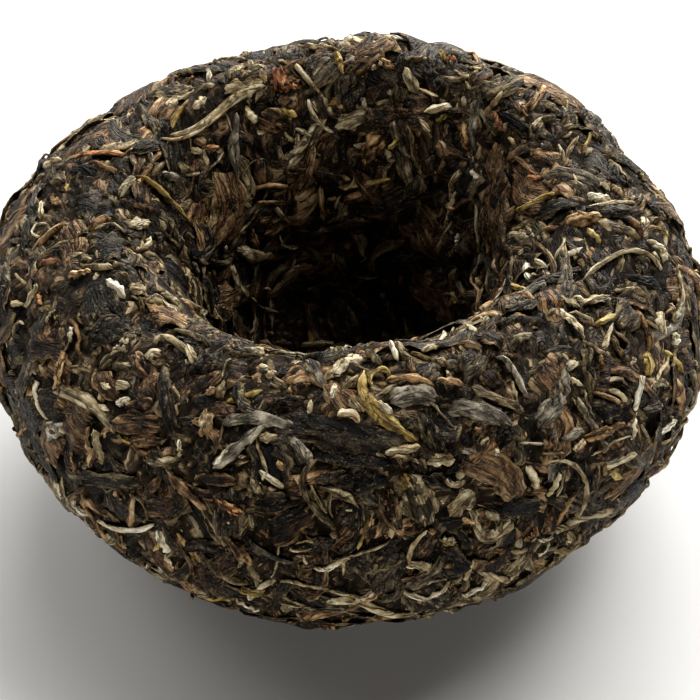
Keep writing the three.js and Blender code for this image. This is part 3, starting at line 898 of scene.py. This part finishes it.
# The leaves that the photograph shows best, by kind. Each row is a leaf's width and then the x and y of
# the points that its centre line passes, all in pixels.
LANDMARKS = {
    "black": (
        (20, 266, 52, 300, 51), (16, 426, 64, 438, 92), (20, 495, 113, 527, 130), (16, 66, 169, 98, 169),
        (12, 582, 161, 604, 170, 630, 181), (34, 74, 198, 118, 202), (20, 522, 212, 575, 198),
        (14, 590, 208, 650, 207), (14, 628, 275, 666, 283), (16, 502, 305, 542, 297),
        (34, 84, 335, 128, 318), (14, 548, 352, 576, 350), (16, 160, 362, 162, 395, 172, 434),
        (20, 182, 374, 218, 352), (20, 190, 404, 213, 398), (12, 264, 402, 300, 398),
        (16, 269, 404, 315, 419, 384, 432), (26, 602, 412, 630, 412), (40, 268, 420, 330, 432, 398, 450),
        (14, 307, 454, 350, 460, 391, 462), (20, 504, 446, 514, 424), (16, 316, 479, 346, 474),
        (20, 428, 478, 456, 492), (24, 345, 492, 380, 478), (20, 252, 512, 288, 500),
        (12, 340, 505, 359, 512, 357, 538, 340, 557), (24, 500, 510, 546, 512),
        (14, 262, 531, 290, 518, 308, 508), (22, 302, 546, 336, 549),
    ),
    "brown": (
        (18, 515, 96, 528, 108), (28, 262, 116, 290, 130), (14, 388, 104, 402, 116),
        (6, 132, 200, 156, 212), (9, 253, 232, 260, 252), (8, 532, 243, 546, 254, 553, 269),
        (14, 622, 293, 652, 304), (7, 456, 338, 481, 346), (22, 476, 326, 503, 341),
        (28, 22, 346, 60, 350), (20, 132, 350, 146, 372), (20, 486, 366, 502, 388),
        (20, 181, 394, 200, 384, 216, 372), (12, 120, 405, 152, 402), (24, 110, 422, 156, 424),
        (9, 614, 428, 630, 426), (16, 130, 442, 156, 440), (12, 600, 464, 628, 448),
        (14, 196, 480, 232, 482), (16, 388, 494, 392, 520), (26, 270, 541, 292, 527, 316, 512),
        (20, 370, 546, 377, 520),
    ),
    "olive": (
        (6, 348, 58, 352, 70), (24, 150, 88, 190, 84), (20, 312, 94, 328, 122), (26, 472, 90, 520, 74),
        (8, 544, 98, 560, 112), (14, 140, 100, 160, 132), (6, 445, 112, 462, 110, 475, 118, 477, 132),
        (6, 540, 118, 556, 117), (22, 526, 138, 544, 118), (10, 566, 122, 594, 126),
        (7, 279, 146, 281, 162), (16, 44, 172, 62, 178), (9, 554, 169, 564, 167), (6, 102, 190, 118, 200),
        (14, 165, 208, 176, 236, 186, 252), (8, 8, 238, 22, 238), (11, 88, 234, 112, 235, 138, 239),
        (13, 138, 325, 118, 346, 99, 366), (8, 172, 324, 190, 329, 209, 342), (12, 222, 348, 266, 349),
        (8, 365, 344, 381, 361), (13, 588, 345, 593, 372, 597, 400),
        (11, 251, 373, 238, 388, 240, 400, 257, 410), (15, 42, 388, 75, 398, 96, 412, 108, 434),
        (5, 608, 382, 622, 378, 630, 387), (8, 50, 416, 66, 410, 86, 420),
        (18, 422, 414, 436, 440, 443, 462), (18, 56, 478, 96, 482, 138, 485), (18, 248, 478, 262, 500),
        (8, 315, 462, 303, 478, 305, 495, 321, 516, 334, 531), (32, 408, 478, 418, 500, 426, 528),
        (5, 309, 485, 316, 498, 326, 514), (6, 318, 488, 345, 496, 359, 509), (12, 488, 512, 502, 518),
        (12, 452, 535, 463, 539, 472, 553), (7, 195, 556, 215, 574, 246, 590),
    ),
    "grey": (
        (5, 361, 98, 364, 108), (5, 368, 110, 373, 118), (4, 150, 152, 156, 162), (6, 540, 145, 550, 144),
        (9, 165, 173, 182, 177), (5, 424, 164, 434, 155), (6, 468, 170, 478, 182),
        (4, 161, 230, 164, 240), (8, 5, 262, 4, 282), (5, 195, 262, 202, 276),
        (6, 508, 303, 518, 300, 530, 300), (12, 300, 352, 314, 366, 322, 382),
        (8, 499, 355, 511, 362, 522, 380, 531, 398), (12, 563, 366, 569, 398),
        (22, 388, 400, 412, 393, 436, 396), (24, 450, 402, 478, 408, 506, 424), (11, 652, 410, 665, 402),
        (12, 220, 422, 261, 418, 299, 430), (13, 261, 425, 240, 444, 212, 466),
        (12, 286, 431, 300, 450, 310, 467), (22, 540, 427, 563, 396), (8, 465, 450, 483, 455),
        (9, 562, 441, 583, 430), (7, 245, 540, 264, 553, 292, 563),
    ),
    "khaki": (
        (7, 292, 58, 305, 76, 318, 92), (6, 298, 44, 336, 43), (12, 226, 74, 243, 58),
        (12, 244, 66, 268, 62), (12, 402, 66, 410, 82, 416, 92), (6, 440, 74, 456, 76, 468, 70),
        (6, 468, 76, 479, 64), (24, 224, 86, 262, 82), (6, 308, 100, 314, 118, 332, 134),
        (5, 481, 115, 492, 100, 502, 88), (10, 163, 134, 190, 131, 212, 117, 234, 99, 262, 86),
        (5, 298, 134, 297, 146), (20, 334, 126, 366, 114), (6, 579, 134, 571, 148, 566, 163),
        (8, 612, 156, 624, 168, 634, 178), (8, 42, 166, 57, 155), (8, 594, 176, 612, 188),
        (5, 640, 170, 649, 182), (5, 657, 192, 665, 202), (7, 276, 209, 291, 226),
        (6, 588, 204, 612, 201, 640, 198), (10, 75, 232, 87, 226), (14, 132, 222, 152, 222),
        (6, 138, 246, 150, 244, 152, 236), (6, 80, 262, 112, 266),
        (7, 586, 276, 606, 258, 640, 249, 665, 267), (16, 128, 282, 146, 286),
        (5, 174, 284, 188, 298, 200, 311), (12, 562, 292, 581, 304), (6, 618, 288, 633, 287, 652, 302),
        (13, 590, 300, 609, 293), (4, 676, 302, 678, 323), (10, 42, 323, 49, 307),
        (7, 153, 344, 162, 335, 178, 343, 193, 352), (6, 302, 344, 333, 343),
        (4, 583, 341, 600, 349, 620, 363), (3, 682, 344, 678, 366), (6, 572, 379, 586, 384),
        (12, 340, 387, 358, 375), (12, 347, 394, 361, 410), (13, 472, 386, 500, 398, 527, 408),
        (6, 609, 391, 620, 392, 628, 402), (9, 93, 431, 97, 468), (10, 257, 437, 275, 437),
        (8, 386, 453, 404, 450, 421, 447), (4, 392, 457, 410, 458, 420, 465), (5, 481, 443, 490, 438),
        (4, 544, 455, 563, 453), (14, 428, 462, 456, 458), (12, 532, 468, 540, 489),
        (5, 548, 462, 580, 470, 591, 490, 585, 512, 562, 538), (7, 562, 476, 553, 501),
        (7, 446, 480, 455, 486, 468, 482), (22, 454, 519, 466, 506, 479, 500),
        (5, 560, 536, 574, 526, 594, 518, 616, 509), (5, 516, 558, 530, 551),
        (5, 558, 557, 572, 549, 582, 535), (3, 335, 562, 362, 554, 392, 543),
        (6, 410, 568, 413, 550, 428, 533), (7, 473, 561, 467, 583), (4, 280, 585, 320, 589, 360, 598),
        (6, 405, 594, 428, 600, 450, 581),
    ),
    "bud": (
        (6, 372, 63, 375, 71), (9, 192, 106, 206, 98), (9, 246, 110, 257, 121), (9, 424, 112, 447, 105),
        (8, 194, 148, 204, 152), (7, 24, 214, 18, 225), (8, 39, 200, 38, 214),
        (5, 653, 237, 662, 246, 667, 260), (5, 565, 253, 582, 247), (7, 36, 284, 20, 305),
        (7, 8, 303, 16, 302), (10, 563, 306, 577, 319, 588, 333), (8, 117, 338, 127, 336),
        (10, 139, 358, 158, 350), (9, 188, 346, 192, 358), (6, 390, 341, 399, 356),
        (7, 424, 346, 438, 343), (8, 438, 357, 448, 365), (6, 259, 364, 269, 364),
        (15, 327, 377, 343, 360, 360, 350), (6, 34, 381, 36, 400, 43, 420), (5, 311, 400, 306, 412),
        (9, 329, 400, 334, 381), (9, 378, 402, 393, 415), (6, 178, 441, 178, 457),
        (7, 497, 458, 500, 449), (11, 443, 547, 456, 544), (6, 314, 570, 326, 573, 340, 565, 350, 562),
        (8, 408, 570, 420, 567, 432, 569), (8, 322, 604, 350, 604, 385, 614, 425, 615),
    ),
    "cream": (
        (12, 588, 189, 612, 198), (5, 455, 235, 455, 248), (6, 532, 257, 544, 263),
        (8, 523, 262, 524, 274), (12, 106, 281, 123, 291), (6, 67, 325, 68, 339), (8, 681, 331, 682, 344),
        (5, 110, 347, 118, 344), (7, 645, 376, 641, 400, 637, 425), (8, 100, 381, 107, 388),
        (5, 98, 404, 102, 410), (9, 114, 403, 124, 396), (11, 639, 420, 636, 443),
        (4, 664, 436, 680, 421), (7, 229, 449, 216, 464), (6, 69, 501, 86, 518),
        (9, 95, 523, 115, 532, 150, 529), (11, 155, 535, 167, 555), (4, 162, 558, 173, 569),
        (5, 541, 558, 556, 549), (3, 541, 543, 556, 541), (5, 463, 598, 488, 586),
        (3, 233, 604, 258, 614),
    ),
    "tan": (
        (5, 186, 78, 193, 76), (8, 260, 70, 266, 80), (4, 418, 88, 434, 96),
        (4, 163, 137, 190, 135, 214, 120, 234, 103), (6, 506, 138, 515, 143), (6, 584, 147, 593, 149),
        (6, 614, 184, 625, 192), (5, 96, 248, 96, 258), (7, 265, 371, 275, 371), (7, 203, 394, 214, 387),
        (14, 206, 410, 203, 436), (9, 338, 415, 348, 413, 359, 423), (8, 85, 427, 85, 452),
        (8, 574, 451, 587, 440), (3, 290, 549, 305, 550, 318, 546), (6, 482, 578, 510, 581),
    ),
    "gold": (
        (9, 334, 46, 341, 74), (5, 441, 45, 447, 50), (6, 471, 60, 482, 65), (8, 278, 110, 296, 115),
        (5, 436, 122, 444, 114), (7, 388, 150, 398, 140), (5, 139, 173, 158, 182, 172, 200, 190, 224),
        (4, 342, 177, 349, 183), (7, 516, 210, 530, 203, 554, 190), (7, 588, 227, 603, 237),
        (8, 510, 285, 522, 285), (8, 600, 321, 615, 314), (9, 652, 351, 651, 374),
        (14, 364, 370, 367, 398, 385, 418, 415, 440), (6, 372, 384, 374, 370, 386, 366, 388, 379),
        (12, 403, 474, 408, 489), (5, 374, 512, 366, 530, 358, 550), (3, 296, 543, 308, 541, 318, 545),
        (8, 240, 591, 262, 600),
    ),
    "stem": (
        (10, 378, 58, 393, 66), (6, 461, 122, 464, 150), (6, 86, 160, 118, 165),
        (18, 362, 164, 372, 146, 386, 130), (5, 574, 169, 581, 167), (8, 46, 194, 56, 200),
        (6, 320, 188, 323, 222), (5, 258, 203, 286, 204), (13, 563, 217, 606, 213), (8, 68, 274, 90, 268),
        (12, 58, 352, 57, 372, 52, 390), (10, 278, 345, 293, 345), (7, 603, 355, 604, 367),
        (20, 95, 370, 112, 402), (9, 388, 379, 410, 376, 434, 384), (11, 292, 380, 291, 396),
        (9, 440, 382, 466, 381), (9, 475, 430, 483, 432), (5, 70, 452, 72, 474), (14, 589, 441, 613, 429),
        (3, 380, 495, 385, 520, 405, 535, 426, 530), (8, 465, 524, 476, 524), (15, 234, 544, 247, 569),
        (12, 530, 545, 542, 532), (4, 474, 560, 490, 563, 508, 553),
    ),
    "rust": (
        (6, 448, 50, 457, 53), (12, 290, 78, 296, 87), (7, 72, 155, 98, 150, 124, 147),
        (6, 526, 176, 540, 178), (6, 36, 294, 37, 303), (13, 215, 502, 238, 515),
    ),
    "red": (
        (22, 277, 64, 284, 92), (7, 492, 112, 500, 130), (6, 206, 147, 220, 148), (6, 38, 262, 58, 260),
        (6, 680, 267, 690, 268), (6, 508, 458, 508, 472),
    ),
}


# ---- the pieces

# The slot of each kind of landmark and the range of its tones, which make a leaf darker or lighter
LANDMARK_KINDS = {
    "black": ("dark_leaf", (0, 0.3)),
    "brown": ("brown_leaf", (0.15, 0.75)),
    "olive": ("dark_leaf", (0, 0.5)),
    "grey": ("dark_leaf", (0.4, 0.95)),
    "khaki": ("bud", (0.4, 0.95)),
    "bud": ("bud", (0.7, 1.1)),
    "cream": ("bud", (0.7, 1.0)),
    "tan": ("stem", (0.25, 0.75)),
    "gold": ("stem", (0.2, 0.7)),
    "stem": ("stem", (0.4, 0.95)),
    "rust": ("stem", (0.6, 1.0)),
    "red": ("stem", (0, 0.5)),
}
BROAD_PIXELS = 10
LANDMARK_STATIONS = 15
LANDMARK_SEED = 40
KIND_LIFT = 0.015

PALE_KINDS = ("grey", "khaki", "bud", "cream", "tan", "gold")
CALM_LOOK = {"streaky": 0.1, "shade": (0.6, 1.08)}

SECTIONS = {
    "strip": pressed_section(),
    "patch": pressed_section(
        top=13, crown=6, pitch=0.9, fold=0.35, crumple=0.3, tip=0.5, tilt=0.35, dip=0.7
    ),
    "shred": pressed_section(
        top=6, crown=2.5, pitch=0.7, fold=0.3, crumple=0.2, tip=0.35, tilt=0.22, dip=0.7, dish=0.2
    ),
    "curl": pressed_section(top=3, pitch=9, fold=0.0, crumple=0.05, tip=0.5, tilt=0.05, dip=0.6, dish=0),
    "stem": round_section(),
    "chip": pressed_section(
        top=4, crown=2.5, pitch=0.8, fold=0.1, crumple=0.1, tip=0.6, blunt=0.4, tilt=0.1, dip=0.3, dish=0
    ),
    "broad_mark": pressed_section(crown=3, pitch=0.95, fold=0.6, tilt=0.3, dip=0.9, creases=(0.7, 1.3)),
    "slim_mark": pressed_section(
        top=7, crown=2.2, pitch=0.7, fold=0.35, crumple=0.2, tip=0.4, tilt=0.15, dip=0.5, dish=0.15
    ),
}

# Each row is a piece of scattered leaves: its name, slot, palette, section, stations, seed and number of
# leaves, the leaves' lengths and widths in millimetres, and what sets them apart from most leaves.
SCATTERED = (
    ("strips_black", "dark_leaf", "black", "strip", 17, 11, 170, (8, 16), (2.2, 4.4), {}),
    ("strips_brown", "brown_leaf", "brown", "strip", 16, 12, 170, (7, 15), (2.0, 4.0), {}),
    ("strips_olive", "dark_leaf", "olive", "strip", 15, 13, 130, (7, 13), (1.5, 3.0), {}),
    ("strips_grey", "dark_leaf", "grey", "strip", 14, 16, 60, (6, 12), (1.2, 2.6), {}),
    ("patches_black", "dark_leaf", "black", "patch", 12, 17, 230, (4, 10), (3, 6), {"stray": 1.2}),
    (
        "patches_brown", "brown_leaf", "brown", "patch", 12, 18, 250, (4, 10), (3, 6),
        {"stray": 1.2, "tone": 0.6}
    ),
    ("shreds_black", "dark_leaf", "black", "shred", 9, 21, 300, (3, 9), (0.9, 2.2), {"stray": 1.1}),
    ("shreds_brown", "brown_leaf", "brown", "shred", 9, 22, 320, (3, 9), (0.9, 2.2), {"stray": 1.1}),
    ("shreds_olive", "dark_leaf", "olive", "shred", 9, 23, 280, (3, 8), (0.8, 1.8), {"stray": 1.1}),
    (
        "shreds_khaki", "bud", "khaki", "shred", 9, 24, 220, (2, 6), (0.5, 1.5),
        {"depth": (0, 0.3), "stray": 1.2, "tone": 0.7}
    ),
    ("buds", "bud", "bud", "shred", 11, 14, 80, (3, 8), (0.6, 1.4), {"depth": (0, 0.3), "tone": 0.6}),
    (
        "gold_shreds", "stem", "gold", "shred", 10, 25, 90, (2, 8), (0.5, 1.4),
        {"depth": (0, 0.35), "tone": 0.6}
    ),
    (
        "curls", "bud", "khaki", "curl", 10, 26, 200, (2.5, 7), (0.25, 0.5),
        {"thick": (0.2, 0.4), "depth": (-0.05, 0.25), "bend": 1.4, "stray": 1.2}
    ),
    (
        "stems", "stem", "stem", "stem", 10, 27, 70, (4, 12), (0.5, 1.0),
        {"thick": (0.4, 0.4), "depth": (0, 0.3), "bend": 0.3, "tone": 0.7}
    ),
    (
        "chips_pale", "bud", "khaki", "chip", 4, 28, 320, (0.6, 2.2), (0.3, 0.8),
        {"depth": (0.05, 0.35), "tone": 0.7}
    ),
    (
        "chips_brown", "brown_leaf", "stem", "chip", 4, 29, 220, (0.5, 1.8), (0.4, 1.1),
        {"depth": (0, 0.3), "tone": 0.7}
    ),
)


def leaf_materials():
    """One material for each palette. The pale kinds have calmer streaks and shades."""
    return {
        name: leaf_material(name + "_leaf", palette, **(CALM_LOOK if name in PALE_KINDS else {}))
        for name, palette in PALETTES.items()
    }


def landmark_shell(number, rows, tones):
    """All landmarks of one kind. Broad and slim leaves have sections of their own."""
    broad = [row for row in rows if row[0] >= BROAD_PIXELS]
    slim = [row for row in rows if row[0] < BROAD_PIXELS]
    shells = []
    for share, section in ((broad, "broad_mark"), (slim, "slim_mark")):
        if share:
            leaves = landmarks(LANDMARK_SEED + number, share, KIND_LIFT * number, tones)
            shells.append(tubes(leaves, LANDMARK_STATIONS, SECTIONS[section]))
    return joined(shells)


def build_cake():
    """The pressed mass, the scattered leaves in it, and the landmarks on top."""
    materials = leaf_materials()
    make_piece("pressed_mass", pressed_mass(), materials["mass"])
    above = tracks([row for rows in LANDMARKS.values() for row in rows])
    for name, slot, palette, section, stations, seed, count, length, width, apart in SCATTERED:
        leaves = scatter(seed, count, length, width, **apart)
        make_piece(name, tubes(leaves, stations, SECTIONS[section], above), materials[palette])
    for number, (kind, rows) in enumerate(LANDMARKS.items()):
        slot, tones = LANDMARK_KINDS[kind]
        make_piece("landmarks_" + kind, landmark_shell(number, rows, tones), materials[kind])


build_cake()


# ---- camera, light and floor

def add_camera():
    """The camera that took the photograph, as fitted to it."""
    data = bpy.data.cameras.new("camera")
    data.sensor_width = SENSOR
    data.lens = PIXELS_PER_MM * CAMERA_DISTANCE * SENSOR / FRAME_PIXELS
    data.shift_x = (FRAME_PIXELS / 2 - PIVOT_PIXEL[0]) / FRAME_PIXELS
    data.shift_y = (PIVOT_PIXEL[1] - FRAME_PIXELS / 2) / FRAME_PIXELS
    data.clip_start = 0.01
    data.clip_end = 20
    camera = bpy.data.objects.new("camera", data)
    camera.matrix_world = Matrix.Translation(camera_spot() * MM) @ camera_turn().to_4x4()
    bpy.context.scene.collection.objects.link(camera)
    bpy.context.scene.camera = camera


LIGHT_DISTANCE = 0.9
FLOOR_HALF = 3.0
FLOOR_COLOUR = (0.55, 0.547, 0.543, 1)
FLOOR_ROUGHNESS = 0.8
DAYLIGHT = (1, 0.99, 0.975)
LAMPLIGHT = (1, 0.97, 0.93)

# Each light has its azimuth in degrees from straight behind the cake towards its right, its elevation in
# degrees, its width and height in metres, its power in watts and its colour.
LIGHTS = {
    "window": (22, 25, (0.8, 0.5), 13.5, DAYLIGHT),
    "right": (60, 55, (0.5, 0.5), 6.4, DAYLIGHT),
    "top": (0, 60, (0.5, 0.5), 4.2, DAYLIGHT),
    "left": (-52, 34, (0.6, 0.5), 4.6, DAYLIGHT),
    "fill": (188, 14, (0.5, 0.3), 3.7, LAMPLIGHT),
}


def add_light(name, azimuth, elevation, size, power, colour):
    """A rectangular light aimed at the cake."""
    data = bpy.data.lights.new(name, "AREA")
    data.shape = "RECTANGLE"
    data.size, data.size_y = size
    data.energy = power
    data.color = colour
    light = bpy.data.objects.new(name, data)
    turn, rise = math.radians(azimuth), math.radians(elevation)
    away = Vector((math.cos(rise) * math.sin(turn), math.cos(rise) * math.cos(turn), math.sin(rise)))
    place = Vector(CAMERA_PIVOT) * MM + away * LIGHT_DISTANCE
    light.matrix_world = Matrix.Translation(place) @ away.to_track_quat("Z", "Y").to_matrix().to_4x4()
    bpy.context.scene.collection.objects.link(light)


def add_floor():
    """The pale table top that the cake lies on."""
    corners = [(x * FLOOR_HALF, y * FLOOR_HALF, 0) for x, y in ((-1, -1), (1, -1), (1, 1), (-1, 1))]
    mesh = bpy.data.meshes.new("floor")
    mesh.from_pydata(corners, [], [(0, 1, 2, 3)])
    finish = Finish("floor")
    finish.shader.inputs["Base Color"].default_value = FLOOR_COLOUR
    finish.shader.inputs["Roughness"].default_value = FLOOR_ROUGHNESS
    mesh.materials.append(finish.material)
    floor = bpy.data.objects.new("floor", mesh)
    bpy.context.scene.collection.objects.link(floor)


def add_world():
    """A dark world: all light comes from the five lights."""
    world = bpy.data.worlds.new("studio")
    world.use_nodes = True
    world.node_tree.nodes["Background"].inputs["Strength"].default_value = 0.0
    bpy.context.scene.world = world


add_camera()
add_floor()
add_world()
for name, setting in LIGHTS.items():
    add_light(name, *setting)
bpy.context.scene.view_settings.view_transform = "Standard"
bpy.context.scene.view_settings.look = "Medium High Contrast"
